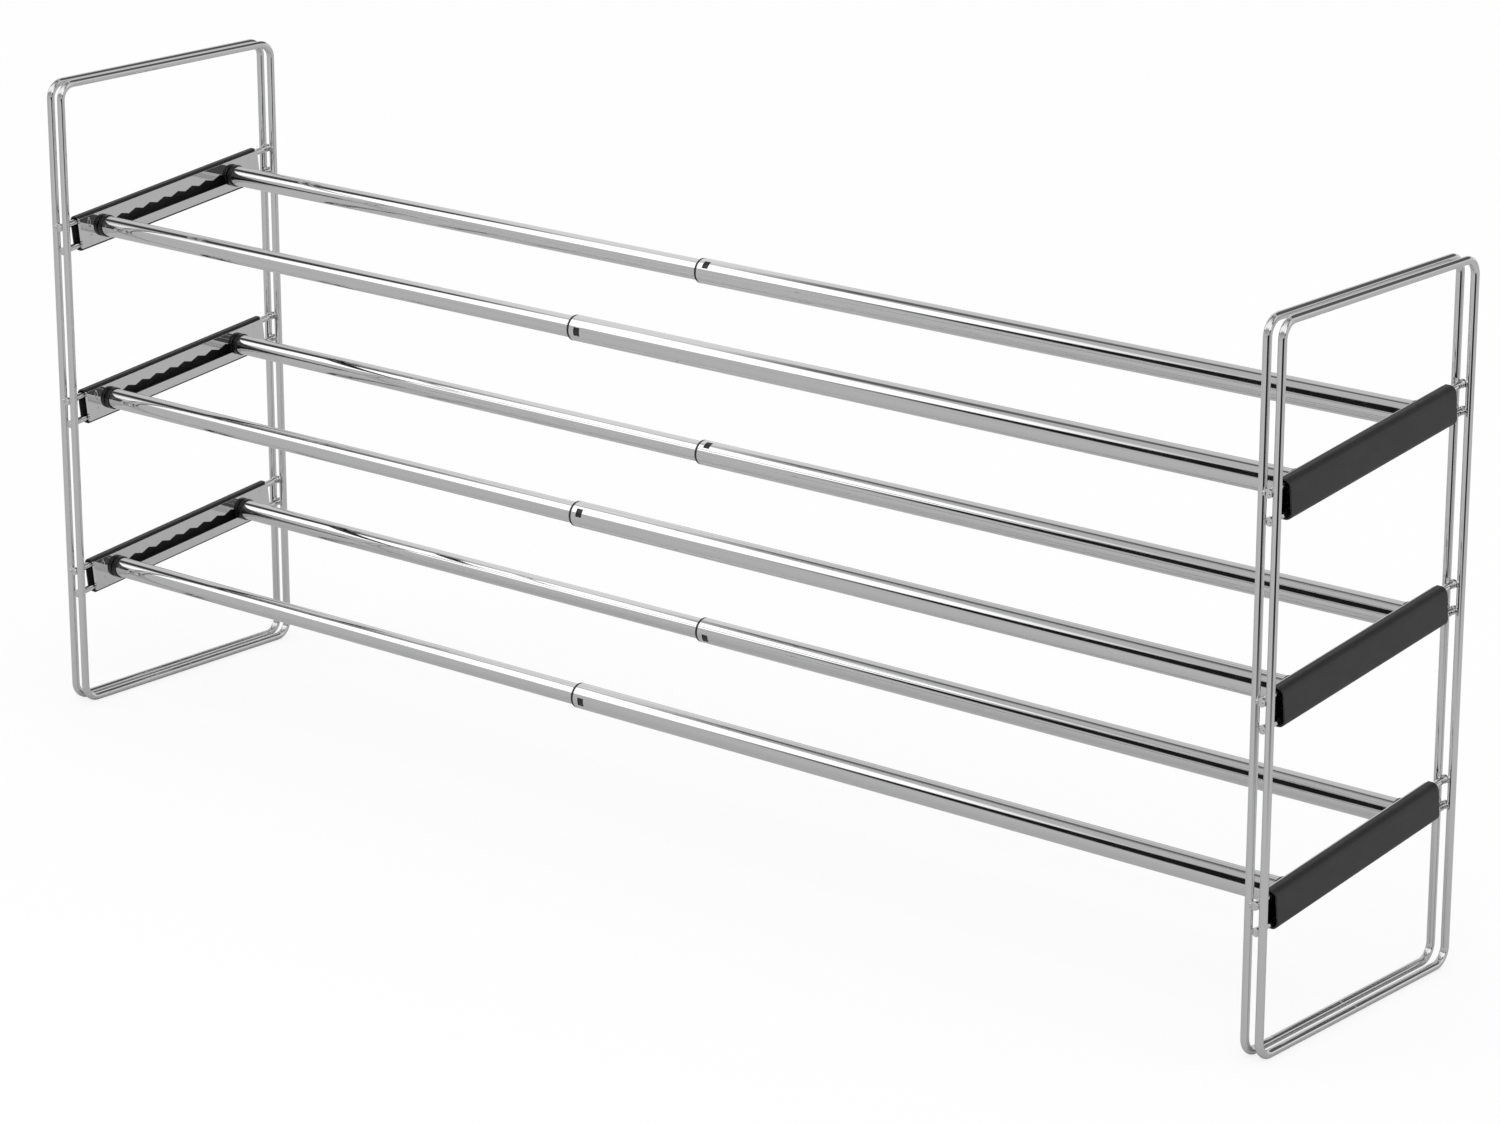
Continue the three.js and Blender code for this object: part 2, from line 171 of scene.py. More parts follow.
# %% The wall
GREY_FRONT = 0.52
PALE_WALL = 0.80
WALL_BETWEEN_LAMPS = 0.62
WALL_START = 90


def overlap(tree, *masks):
    """Gives the part that all the masks share."""
    shared = masks[0]
    for mask in masks[1:]:
        shared = calculate(tree, "MULTIPLY", shared, mask)
    return shared


wall = fade(sky, lean, 0.02, 0.3, PALE_WALL, WALL_BETWEEN_LAMPS)
room = fade(sky, turn, WALL_START, WALL_START + 14, GREY_FRONT, wall)
print("The wall behind the rack starts at a turn of", WALL_START, "degrees")

# %% Cards behind and above the bars
LEFT_CARD = 0.05
TOP_CARD = 0.13

left_card = overlap(
    sky,
    fade(sky, turn, 66, 76),
    fade(sky, turn, 110, 94),
    fade(sky, lean, 0.03, 0.14),
    left_side,
)
room = lay_over(sky, left_card, room, LEFT_CARD)

top_card = overlap(
    sky,
    fade(sky, calculate(sky, "MULTIPLY_ADD", lean, -30, turn), 78, 84),
    fade(sky, turn, 120, 108),
    fade(sky, lean, 0.04, 0.15),
    right_side,
)
room = lay_over(sky, top_card, room, TOP_CARD)
print("Grey of the left and the top card:", LEFT_CARD, TOP_CARD)

# %% Soft lamps above the front
LAMP = 1.45
LAMP_EDGE = 0.7
LAMP_HIGH = 92
LAMP_LOW = 27

lamp_top = calculate(sky, "MULTIPLY_ADD", lean, -100, LAMP_HIGH)
lamp_bottom = calculate(sky, "MULTIPLY_ADD", lean, 25, LAMP_LOW)
soft_lamp = overlap(
    sky,
    fade(sky, calculate(sky, "SUBTRACT", turn, lamp_bottom), -2, 2),
    fade(sky, calculate(sky, "SUBTRACT", turn, lamp_top), 6, -6),
)
room = lay_over(sky, soft_lamp, room, fade(sky, lean, 0.2, 0.48, LAMP, LAMP_EDGE))
print("At its middle a lamp reaches from", LAMP_LOW, "to", LAMP_HIGH, "degrees")

# %% Cards at the front, the right and the back
FRONT_CARD = 0.01
RIGHT_CARD = 0.07
BACK_CARD = 0.10
TWO_REFLECTIONS = 2.5

card_top = calculate(sky, "MULTIPLY_ADD", lean, 50, 20)
card_bottom = calculate(sky, "MAXIMUM", calculate(sky, "MULTIPLY_ADD", lean, -52, 29), -5)
front_card = overlap(
    sky,
    fade(sky, calculate(sky, "SUBTRACT", turn, card_top), 4, -4),
    fade(sky, calculate(sky, "SUBTRACT", turn, card_bottom), -4, 4),
    fade(sky, lean, 0.06, 0.26),
    right_side,
)
room = lay_over(sky, front_card, room, FRONT_CARD)

right_card = overlap(
    sky,
    calculate(sky, "GREATER_THAN", rays["Ray Depth"], TWO_REFLECTIONS),
    fade(sky, turn, -10, 2),
    fade(sky, turn, 134, 122),
    fade(sky, along, 0.60, 0.66),
)
room = lay_over(sky, right_card, room, RIGHT_CARD)

back_card = overlap(
    sky,
    fade(sky, height, 0.30, 0.42),
    fade(sky, along, -0.40, -0.28),
    fade(sky, along, 0.62, 0.50),
    fade(sky, depth, 0.35, 0.45),
)
room = lay_over(sky, back_card, room, BACK_CARD)
print("Nodes in the studio:", len(sky.nodes))

# %% One room for each kind of ray
PLAIN_LIGHT = 1.0
WHITE = 1.0

seen = calculate(sky, "MAXIMUM", rays["Is Camera Ray"], rays["Is Transmission Ray"])
light = lay_over(sky, rays["Is Glossy Ray"], PLAIN_LIGHT, room)
light = lay_over(sky, seen, light, WHITE)

background = sky.nodes.new("ShaderNodeBackground")
sky_output = sky.nodes.new("ShaderNodeOutputWorld")
sky.links.new(light, background.inputs["Color"])
sky.links.new(background.outputs[0], sky_output.inputs["Surface"])
print("Plain light level:", PLAIN_LIGHT)

# %% [markdown]
# ## The floor and the lamp
#
# The floor is one large pale sheet. The camera sees it mostly as plain white, with just enough
# of the real surface mixed in to keep the rack's shadow. For the metal its colour is painted
# darker. This painted shade stands for the floor lying in the shade of the lamps. A painted
# black patch lies beyond the right-hand end, and only reflections show it. That painted dark
# patch is what draws the dark line down the upright wires there.
#
# One large soft lamp in front gives the black plastic a lighter and a darker side. It is hidden
# from the metal, which already has its lamps in the studio.

# %% Lay the floor
FLOOR_REACH = 30
# Corner of a painted dark patch on the floor, which only the metal's reflections show
DARK_PATCH_CORNER_X = 0.57
DARK_PATCH_CORNER_Y = -0.11
# Painted shade: the floor's colour as the metal sees it, darker than its real white
FLOOR_IN_SHADE = 0.49
# Painted black for that patch, a dark colour that only reflections show
PAINTED_DARK_PATCH = 0.02

floor_mesh = bpy.data.meshes.new("Floor")
floor_corners = [(x, y, 0) for x, y in ((-1, -1), (1, -1), (1, 1), (-1, 1))]
floor_mesh.from_pydata([Vector(c) * FLOOR_REACH for c in floor_corners], [], [(0, 1, 2, 3)])
floor = bpy.data.objects.new("Floor", floor_mesh)
bpy.context.scene.collection.objects.link(floor)

floor_finish = bpy.data.materials.new("Studio floor")
floor_finish.use_nodes = True
tree = floor_finish.node_tree
tree.nodes.clear()

spot = tree.nodes.new("ShaderNodeSeparateXYZ")
tree.links.new(tree.nodes.new("ShaderNodeNewGeometry").outputs["Position"], spot.inputs[0])
patch_x = calculate(tree, "SUBTRACT", spot.outputs["X"], DARK_PATCH_CORNER_X)
patch_y = calculate(tree, "SUBTRACT", spot.outputs["Y"], DARK_PATCH_CORNER_Y)
bearing = calculate(tree, "DEGREES", calculate(tree, "ARCTAN2", patch_y, patch_x))
distance = calculate(
    tree,
    "SQRT",
    calculate(tree, "MULTIPLY_ADD", patch_x, patch_x, calculate(tree, "MULTIPLY", patch_y, patch_y)),
)
# Painted dark patch: a black area of floor colour that fans out from its corner
painted_dark_patch = overlap(
    tree,
    fade(tree, bearing, -62, -52),
    fade(tree, bearing, -6, -14),
    fade(tree, distance, 0.3, 1.0),
)
shaded_floor = lay_over(tree, painted_dark_patch, FLOOR_IN_SHADE, PAINTED_DARK_PATCH)
print("The painted dark patch fans out from", (DARK_PATCH_CORNER_X, DARK_PATCH_CORNER_Y))

# %% Paint the floor
FLOOR_WHITE = 0.94
FLOOR_GLOW = 0.78
rays = tree.nodes.new("ShaderNodeLightPath").outputs
paint = tree.nodes.new("ShaderNodeBsdfDiffuse")
# Glossy rays get the painted shade and the painted dark patch, and all other rays get the white
# floor
floor_colour = lay_over(tree, rays["Is Glossy Ray"], FLOOR_WHITE, shaded_floor)
tree.links.new(floor_colour, paint.inputs["Color"])
glow = tree.nodes.new("ShaderNodeEmission")
mixed = tree.nodes.new("ShaderNodeMixShader")
tree.links.new(calculate(tree, "MULTIPLY", rays["Is Camera Ray"], FLOOR_GLOW), mixed.inputs[0])
tree.links.new(paint.outputs[0], mixed.inputs[1])
tree.links.new(glow.outputs[0], mixed.inputs[2])
floor_output = tree.nodes.new("ShaderNodeOutputMaterial")
tree.links.new(mixed.outputs[0], floor_output.inputs["Surface"])
floor_mesh.materials.append(floor_finish)
print("Floor reaches", FLOOR_REACH, "m each way")

# %% Hang the soft lamp
lamp_data = bpy.data.lights.new("Soft lamp", "AREA")
lamp_data.shape = "RECTANGLE"
lamp_data.size = 2.4
lamp_data.size_y = 1.6
lamp_data.energy = 14
lamp = bpy.data.objects.new("Soft lamp", lamp_data)
bpy.context.scene.collection.objects.link(lamp)
lamp.location = (1.4, -2.0, 2.6)
lamp.rotation_euler = (Vector((0, 0, 0.25)) - lamp.location).to_track_quat("-Z", "Y").to_euler()
lamp.visible_glossy = False
print("Lamp power:", lamp_data.energy, "W")

# %% [markdown]
# ## The finishes
#
# Two finishes cover the whole rack, as they do the real one.
#
# - Chrome is a thin bright plating. It copies what lies under it, so a drawn tube keeps faint
#   lines along its length and a bent wire keeps a slight waviness. Both are far too shallow to
#   model, so a Bump node tilts the surface by a fraction of a degree instead.
# - The plastic is moulded in black. The covers come from a sparked mould, which leaves a fine
#   matt grain. The plugs and rings come from a smoother one and shine a little.

# %% Chrome
def new_finish(name):
    finish = bpy.data.materials.new(name)
    finish.use_nodes = True
    nodes = finish.node_tree.nodes
    return finish, finish.node_tree, nodes["Principled BSDF"]


def noise(tree, stretch, detail):
    """Noise in the piece's own space. Each number of stretch is how many grains fit in a metre."""
    place = tree.nodes.new("ShaderNodeTexCoord")
    mapping = tree.nodes.new("ShaderNodeMapping")
    mapping.inputs["Scale"].default_value = stretch
    grain = tree.nodes.new("ShaderNodeTexNoise")
    grain.inputs["Scale"].default_value = 1
    grain.inputs["Detail"].default_value = detail
    tree.links.new(place.outputs["Object"], mapping.inputs["Vector"])
    tree.links.new(mapping.outputs[0], grain.inputs["Vector"])
    return grain.outputs[0]


def tilt_surface(tree, heights, depth, normal_input):
    bump = tree.nodes.new("ShaderNodeBump")
    bump.inputs["Distance"].default_value = depth
    tree.links.new(heights, bump.inputs["Height"])
    tree.links.new(bump.outputs[0], normal_input)


def chrome(name, stretch, depth, smoothest, roughest):
    finish, tree, surface = new_finish(name)
    surface.inputs["Base Color"].default_value = (0.80, 0.80, 0.805, 1)
    surface.inputs["Metallic"].default_value = 1
    tilt_surface(tree, noise(tree, stretch, 3), depth, surface.inputs["Normal"])
    haze = fade(tree, noise(tree, (90, 90, 90), 2), 0.35, 0.65, smoothest, roughest)
    tree.links.new(haze, surface.inputs["Roughness"])
    return finish


tube_chrome = chrome("Chrome on drawn tube", (8, 600, 600), 0.0025 * MM, 0.03, 0.06)
wire_chrome = chrome("Chrome on bent wire", (120, 120, 120), 0.012 * MM, 0.03, 0.06)
plate_chrome = chrome("Chrome on pressed plate", (60, 90, 90), 0.01 * MM, 0.02, 0.05)
print("Chrome finishes:", tube_chrome.name, "|", wire_chrome.name, "|", plate_chrome.name)

# %% Black plastic
def black_plastic(name, colour, roughness, grain_size, depth):
    finish, tree, surface = new_finish(name)
    grain = noise(tree, (1 / grain_size, 1 / grain_size, 1 / grain_size), 4)
    tilt_surface(tree, grain, depth, surface.inputs["Normal"])
    cloud = fade(tree, noise(tree, (60, 60, 60), 2), 0.3, 0.7, 0.9, 1.1)
    shade = tree.nodes.new("ShaderNodeVectorMath")
    shade.operation = "SCALE"
    shade.inputs[0].default_value = colour
    tree.links.new(cloud, shade.inputs["Scale"])
    tree.links.new(shade.outputs[0], surface.inputs["Base Color"])
    tree.links.new(
        fade(tree, grain, 0.3, 0.7, roughness - 0.05, roughness + 0.05),
        surface.inputs["Roughness"],
    )
    return finish


matt_plastic = black_plastic("Matt black cover", (0.018, 0.018, 0.019), 0.46, 0.5 * MM, 0.03 * MM)
satin_plastic = black_plastic("Satin black plug", (0.010, 0.010, 0.011), 0.30, 0.8 * MM, 0.006 * MM)
print("Plastic finishes:", matt_plastic.name, "|", satin_plastic.name)

# %% [markdown]
# ## Where things are
#
# Every piece below is built once, around its own middle, and then put in its places with a
# matrix. The places are read from the measured model: the slope of the tiers from the middles
# of two bars, and the height of each tier from its end plate.

# %% Read the places
SIDES = ("left", "right")
TIERS = ("bottom", "middle", "top")
ROWS = ("front", "rear")


def middle(node):
    low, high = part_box(node)
    return (low + high) / 2


def extent(node):
    low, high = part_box(node)
    return high - low


frame_x = middle("right_top_upper_cross_wire").x
tier_height = {tier: middle(f"left_{tier}_slot_plate").z for tier in TIERS}
rise = middle("top_rear_inner_tube") - middle("top_front_inner_tube")
slope = math.atan2(rise.z, rise.y)
print("End frames stand", round(2 * frame_x / MM, 1), "mm apart")
print("Tier heights in mm:", {tier: round(z / MM, 1) for tier, z in tier_height.items()})
print("The tiers slope by", round(math.degrees(slope), 2), "degrees")

# %% Put a group at one end, on one tier or at one bar
def at_end(side):
    """Stands at the middle of an end frame, with X toward the middle of the rack."""
    if side == "left":
        return Matrix.Translation((-frame_x, 0, 0))
    return Matrix.Translation((frame_x, 0, 0)) @ Matrix.Rotation(math.pi, 4, "Z")


def on_tier(tier):
    return Matrix.Translation((0, 0, tier_height[tier])) @ Matrix.Rotation(slope, 4, "X")


def at_bar(tier, row):
    axis = middle(f"{tier}_{row}_inner_tube")
    return Matrix.Translation((0, axis.y, axis.z)) @ Matrix.Rotation(slope, 4, "X")


for row in ROWS:
    print("Depth of each", row, "bar in mm:", round(middle(f"top_{row}_inner_tube").y / MM, 1))

# %% [markdown]
# ## Small tools for meshes
#
# Nearly every piece of this rack is round: drawn wire, tube and turned plugs. A lathe would
# make them, so the main tool here is a lathe too. It spins a path of points round the X axis.
#
# A real edge is never perfectly sharp, and the tiny round on it is what catches the light. The
# helper "softened" cuts each corner of a path with a small curve. It also leaves one more
# point on either side of the curve. Smooth shading blends a face with its neighbours, and those
# extra points stop the blend from bleeding along a tube that is half a metre long.

# %% Helpers for meshes
def make_mesh(name, corners, faces, sharp_angle=40):
    mesh = bpy.data.meshes.new(name)
    mesh.from_pydata(corners, [], faces)
    shape = bmesh.new()
    shape.from_mesh(mesh)
    bmesh.ops.recalc_face_normals(shape, faces=shape.faces)
    shape.to_mesh(mesh)
    shape.free()
    mesh.shade_smooth()
    mesh.set_sharp_from_angle(angle=math.radians(sharp_angle))
    return mesh


def softened(outline, steps=4):
    """Rounds the corners of an outline. Each point is (across, up, how far the round reaches)."""
    points = []
    for index, (across, up, reach) in enumerate(outline):
        corner = Vector((across, up))
        if reach == 0:
            points.append(corner)
            continue
        back = (Vector(outline[index - 1][:2]) - corner).normalized() * reach
        onward = (Vector(outline[(index + 1) % len(outline)][:2]) - corner).normalized() * reach
        points.append(corner + 1.3 * back)
        for step in range(steps + 1):
            share = step / steps
            points.append(corner + back * (1 - share) ** 2 + onward * share**2)
        points.append(corner + 1.3 * onward)
    return points


def lathe(path, sides, closed=False):
    """Spins a path of (place along X, radius) round the X axis. Gives corners and faces."""
    corners = []
    rings = []
    for place, radius in path:
        if radius == 0:
            rings.append([len(corners)] * sides)
            corners.append((place, 0, 0))
            continue
        rings.append(range(len(corners), len(corners) + sides))
        for step in range(sides):
            angle = 2 * math.pi * step / sides
            corners.append((place, radius * math.cos(angle), radius * math.sin(angle)))
    if closed:
        rings.append(rings[0])
    faces = []
    for ring, next_ring in zip(rings, rings[1:]):
        for step in range(sides):
            after = (step + 1) % sides
            face = (ring[step], ring[after], next_ring[after], next_ring[step])
            faces.append(tuple(dict.fromkeys(face)))
    return corners, faces


def put(name, mesh, finish, slot, body, place, *nodes):
    """Makes a piece of a mesh, in its place on a body, in front of the solids it stands for."""
    if not mesh.materials:
        mesh.materials.append(finish)
    piece = bpy.data.objects.new(name, mesh)
    bpy.context.scene.collection.objects.link(piece)
    piece.matrix_world = place
    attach(piece, body)
    if nodes:
        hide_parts(*nodes)
    return piece


def bevel_edges(piece, width, segments=3, angle=40):
    """Rounds the sharp edges of a piece and keeps its large faces flat."""
    bevel = piece.modifiers.new("Soft edges", "BEVEL")
    bevel.width = width
    bevel.segments = segments
    bevel.limit_method = "ANGLE"
    bevel.angle_limit = math.radians(angle)
    bevel.harden_normals = True
    return bevel


print("Mesh helpers are ready")

# %% [markdown]
# ## The wire loops
#
# Each end frame has two loops of 6 mm wire, one inside the other's shadow, with all the other
# wires welded between them. A loop is bent from one length of wire and butt-welded under its
# bottom run, where nobody looks.
#
# A curve with a round bevel would do, but its rings spread evenly and blur the ends of the
# bends. Here the rings are placed one by one: a few across each bend, one just before and after
# it, and a shallow groove at the weld.

# %% Bend the loops
loop_size = extent("left_outer_loop")
loop_radius = loop_size.x / 2
half_depth = loop_size.y / 2 - loop_radius
half_height = loop_size.z / 2 - loop_radius
BEND_RADIUS = 12 * MM
BEND_STEPS = 16
WIRE_SIDES = 32
SEAM_HALF = 0.3 * MM
SEAM_DEPTH = 0.15 * MM


def loop_rings():
    """Gives (y, z, outward angle, radius) for each ring, from the seam round to the seam."""
    near = 1.5 * MM
    rings = [
        (SEAM_HALF, -half_height, -90, loop_radius - SEAM_DEPTH),
        (1.5 * SEAM_HALF, -half_height, -90, loop_radius - SEAM_DEPTH / 4),
        (2.5 * SEAM_HALF, -half_height, -90, loop_radius),
        (near, -half_height, -90, loop_radius),
    ]
    for quarter, (toward_y, toward_z) in enumerate(((1, -1), (1, 1), (-1, 1), (-1, -1))):
        middle_y = toward_y * (half_depth - BEND_RADIUS)
        middle_z = toward_z * (half_height - BEND_RADIUS)
        for step in range(-1, BEND_STEPS + 2):
            bent = min(max(step, 0), BEND_STEPS) / BEND_STEPS
            degrees = (quarter - 1 + bent) * 90
            angle = math.radians(degrees)
            past = near * (step - min(max(step, 0), BEND_STEPS))
            y = middle_y + BEND_RADIUS * math.cos(angle) - past * math.sin(angle)
            z = middle_z + BEND_RADIUS * math.sin(angle) + past * math.cos(angle)
            rings.append((y, z, degrees, loop_radius))
    rings += [(-y, z, degrees + 360, radius) for y, z, degrees, radius in rings[3::-1]]
    return rings


def sweep_wire(rings, sides):
    corners = []
    for y, z, degrees, radius in rings:
        outward = Vector((0, math.cos(math.radians(degrees)), math.sin(math.radians(degrees))))
        for step in range(sides):
            angle = 2 * math.pi * step / sides
            across = outward * math.cos(angle) + Vector((1, 0, 0)) * math.sin(angle)
            corners.append(Vector((0, y, z)) + across * radius)
    faces = []
    for ring in range(len(rings)):
        here = ring * sides
        there = ((ring + 1) % len(rings)) * sides
        for step in range(sides):
            after = (step + 1) % sides
            faces.append((here + step, here + after, there + after, there + step))
    return corners, faces


loop_mesh = make_mesh("Wire loop", *sweep_wire(loop_rings(), WIRE_SIDES), sharp_angle=60)
for side in SIDES:
    for place in ("outer", "inner"):
        node = f"{side}_{place}_loop"
        loop_place = Matrix.Translation(middle(node))
        put(f"{node}_polished", loop_mesh, wire_chrome, "chrome", f"{side}_frame", loop_place, node)
print("Loops are", round(loop_size.z / MM, 1), "mm high")
print("Their wire is", round(2 * loop_radius / MM, 1), "mm thick")

# %% [markdown]
# ## The cross wires and their welds
#
# Two thinner wires per tier run from front to back between the loops. The welding press was hard
# on their cut ends: each is spread a little, like a small mushroom, and its rim is round.
#
# Resistance welding presses hot wires into each other and squeezes out a thin collar of metal.
# Four welds hold each wire. They are turned as small waisted collars, because in chrome it is
# the bright dot of the collar, and not the joint, that the eye picks up.

# %% Turn the cross wires
wire_radius = extent("left_top_upper_cross_wire").x / 2
WIRE_LENGTH = 230 * MM
WIRE_PITCH = 19.2 * MM
RIM = 0.45 * MM
SPREAD = 0.6 * MM
SPREAD_LENGTH = 2.2 * MM
SPREAD_ROUND = 0.3 * MM

wire_end = WIRE_LENGTH / 2
wire_path = softened(
    [
        (-wire_end, 0, 0),
        (-wire_end, wire_radius + SPREAD, RIM),
        (SPREAD_LENGTH - wire_end, wire_radius + SPREAD, SPREAD_ROUND),
        (2 * SPREAD_LENGTH - wire_end, wire_radius, SPREAD_ROUND),
        (wire_end - 2 * SPREAD_LENGTH, wire_radius, SPREAD_ROUND),
        (wire_end - SPREAD_LENGTH, wire_radius + SPREAD, SPREAD_ROUND),
        (wire_end, wire_radius + SPREAD, RIM),
        (wire_end, 0, 0),
    ]
)
cross_wire_mesh = make_mesh("Cross wire", *lathe(wire_path, WIRE_SIDES))
x_to_y = Matrix.Rotation(math.pi / 2, 4, "Z")
LEVELS = {"upper": WIRE_PITCH / 2, "lower": -WIRE_PITCH / 2}
for side in SIDES:
    for tier in TIERS:
        for level, offset in LEVELS.items():
            node = f"{side}_{tier}_{level}_cross_wire"
            wire_place = on_tier(tier) @ at_end(side) @ Matrix.Translation((0, 0, offset)) @ x_to_y
            put(f"{node}_polished", cross_wire_mesh, wire_chrome, "chrome", f"{side}_frame",
                wire_place, node)
print("Cross wires are", round(2 * wire_radius / MM, 1), "mm thick")

# %% Weld them to the loops
WELD_REACH = 2.3 * MM
WELD_WAIST = 1.7 * MM
WELD_SINK = 0.9 * MM
WELD_STEPS = 8
WELD_SIDES = 20
loop_gap = abs(middle("left_outer_loop").x + frame_x)
weld_start = wire_radius - WELD_SINK
weld_end = loop_gap - loop_radius + WELD_SINK
weld_path = []
for step in range(WELD_STEPS + 1):
    share = step / WELD_STEPS
    squeeze = math.sin(math.pi * share)
    radius = WELD_REACH - (WELD_REACH - WELD_WAIST) * squeeze
    weld_path.append((weld_start + (weld_end - weld_start) * share, radius))
weld_path = [(weld_start, 0)] + weld_path + [(weld_end, 0)]
weld_corners, weld_faces = lathe(weld_path, WELD_SIDES)


def join(*shapes):
    """Joins several shapes, each given as corners and faces, into one."""
    all_corners = []
    all_faces = []
    for corners, faces in shapes:
        first = len(all_corners)
        all_corners += list(corners)
        all_faces += [tuple(first + index for index in face) for face in faces]
    return all_corners, all_faces


def repeat(corners, faces, places):
    """Copies a shape to several places and gives all the copies as one."""
    return join(*[([place @ Vector(corner) for corner in corners], faces) for place in places])


to_loop = half_depth / math.cos(slope)
weld_places = [
    Matrix.Translation((0, y, z)) @ Matrix.Rotation(turned, 4, "Z")
    for y in (-to_loop, to_loop)
    for z in LEVELS.values()
    for turned in (0, math.pi)
]
weld_mesh = make_mesh("Welds", *repeat(weld_corners, weld_faces, weld_places))
for side in SIDES:
    for tier in TIERS:
        name = f"{side}_{tier}_welds"
        put(name, weld_mesh, wire_chrome, "chrome", f"{side}_frame", on_tier(tier) @ at_end(side))
print("Welds on each tier and side:", len(weld_places))

# %% [markdown]
# ## The slot plates
#
# A plate pressed from 2.4 mm steel closes the gap between each pair of cross wires. A bar can
# be moved along its slot and drops into one of ten notches. The plate sits slightly high on the
# wires, so a thin line of the black cover shows under it.
#
# The plate is drawn as a flat sheet of four-sided faces that leaves the slot open. Solidify
# gives it its thickness and Bevel breaks its edges, just as tumbling does after the press.

# %% Press the plates
PLATE_LENGTH = 195 * MM
PLATE_TOP = 12.6 * MM
PLATE_BOTTOM = -11.8 * MM
PLATE_THICKNESS = 2.4 * MM
PLAY = 0.3 * MM  # between two pieces that nearly touch
PLATE_START = wire_radius + PLAY
PLATE_EDGE = 0.15 * MM
TOOTH_PITCH = 15.4 * MM
NOTCHES = 10
SLOT_HALF = 78 * MM
SLOT_FLOOR = -4.7 * MM
SLOT_TIP = 2.2 * MM
SLOT_NOTCH = 4.7 * MM

columns = [(-PLATE_LENGTH / 2, SLOT_TIP), (-SLOT_HALF, SLOT_TIP)]
for notch in range(NOTCHES):
    notch_y = (notch - (NOTCHES - 1) / 2) * TOOTH_PITCH
    columns += [(notch_y - TOOTH_PITCH / 2, SLOT_TIP), (notch_y, SLOT_NOTCH)]
for y in (NOTCHES / 2 * TOOTH_PITCH, SLOT_HALF, PLATE_LENGTH / 2):
    columns.append((y, SLOT_TIP))

plate_corners = []
plate_faces = []
for column, (y, slot_top) in enumerate(columns):
    for z in (PLATE_BOTTOM, SLOT_FLOOR, slot_top, PLATE_TOP):
        plate_corners.append((PLATE_START, y, z))
    if column == len(columns) - 1:
        continue
    beside_slot = column in (0, len(columns) - 2)
    for row in (0, 1, 2) if beside_slot else (0, 2):
        first = 4 * column + row
        plate_faces.append((first, first + 4, first + 5, first + 1))
plate_mesh = bpy.data.meshes.new("Slot plate")
plate_mesh.from_pydata(plate_corners, [], plate_faces)
plate_mesh.shade_smooth()

for side in SIDES:
    for tier in TIERS:
        node = f"{side}_{tier}_slot_plate"
        plate = put(f"{node}_polished", plate_mesh, plate_chrome, "chrome", f"{side}_frame",
                    on_tier(tier) @ at_end(side), node)
        sheet = plate.modifiers.new("Thickness", "SOLIDIFY")
        sheet.thickness = PLATE_THICKNESS
        sheet.offset = 1
        bevel_edges(plate, PLATE_EDGE)
print("Faces in the flat plate:", len(plate_faces))

# %% [markdown]
# Two marks near each end of a plate show where it was welded to the two wires behind it. Each
# is a tall narrow ring that the welding tip left, so a round one is turned and then squeezed.

# %% Mark the spot welds
SPOT_RADIUS = 4.6 * MM
SPOT_WIDTH = 3.2 * MM
SPOT_RISE = 7.0 * MM
SPOT_HEIGHT = 0.14 * MM
SPOT_SIDES = 28
SPOT_FROM_END = 9.5 * MM
SPOT_SINK = 0.02 * MM
spot_path = [(0, 0), (0, SPOT_RADIUS)]
rim_to_middle = (0.96, 0.88, 0.78, 0.7, 0.6, 0.3, 0)
rim_levels = (0.6, 1, 0.9, 0.35, 0.25, 0.4, 0.45)
for share, level in zip(rim_to_middle, rim_levels):
    spot_path.append((SPOT_HEIGHT * level, SPOT_RADIUS * share))
plate_face = PLATE_START + PLATE_THICKNESS
spot_offset = PLATE_LENGTH / 2 - SPOT_FROM_END
narrow = Matrix.Diagonal((1, SPOT_WIDTH / 2 / SPOT_RADIUS, 1, 1))
spot_places = [
    Matrix.Translation((plate_face - SPOT_SINK, end * spot_offset, level * SPOT_RISE)) @ narrow
    for end in (-1, 1)
    for level in (-1, 1)
]
spot_mesh = make_mesh("Spot welds", *repeat(*lathe(spot_path, SPOT_SIDES), spot_places))
for side in SIDES:
    for tier in TIERS:
        put(f"{side}_{tier}_spot_welds", spot_mesh, plate_chrome, "chrome", f"{side}_frame",
            on_tier(tier) @ at_end(side))
print("Spot welds are", 2 * SPOT_RADIUS / MM, "mm tall")

# %% [markdown]
# ## The slot covers
#
# A black channel snaps over both cross wires from outside and hides the slot. Its section is
# the same along its whole length, so it is drawn once and pulled out, as an extruder would.
# The two long corners are large rounds, and each lip ends in a small hook.

# %% Draw the section of the cover
COVER_WALL = 1.2 * MM
COVER_FACE = 6 * MM
COVER_ROUND = 5.4 * MM
COVER_HOOK = 1.05 * MM
COVER_PLAY = 0.8 * MM
COVER_EDGE = 0.25 * MM
COVER_LIP = wire_radius
COVER_TOP = (WIRE_PITCH + 2 * wire_radius) / 2 + COVER_PLAY + COVER_WALL
ROUND_STEPS = 14


def quarter_round(across, up, radius, start, end):
    """Points on a quarter of a circle, from one right angle to another."""
    points = []
    for step in range(ROUND_STEPS + 1):
        angle = math.radians(start + (end - start) * step / ROUND_STEPS)
        points.append((across + radius * math.cos(angle), up + radius * math.sin(angle)))
    return points


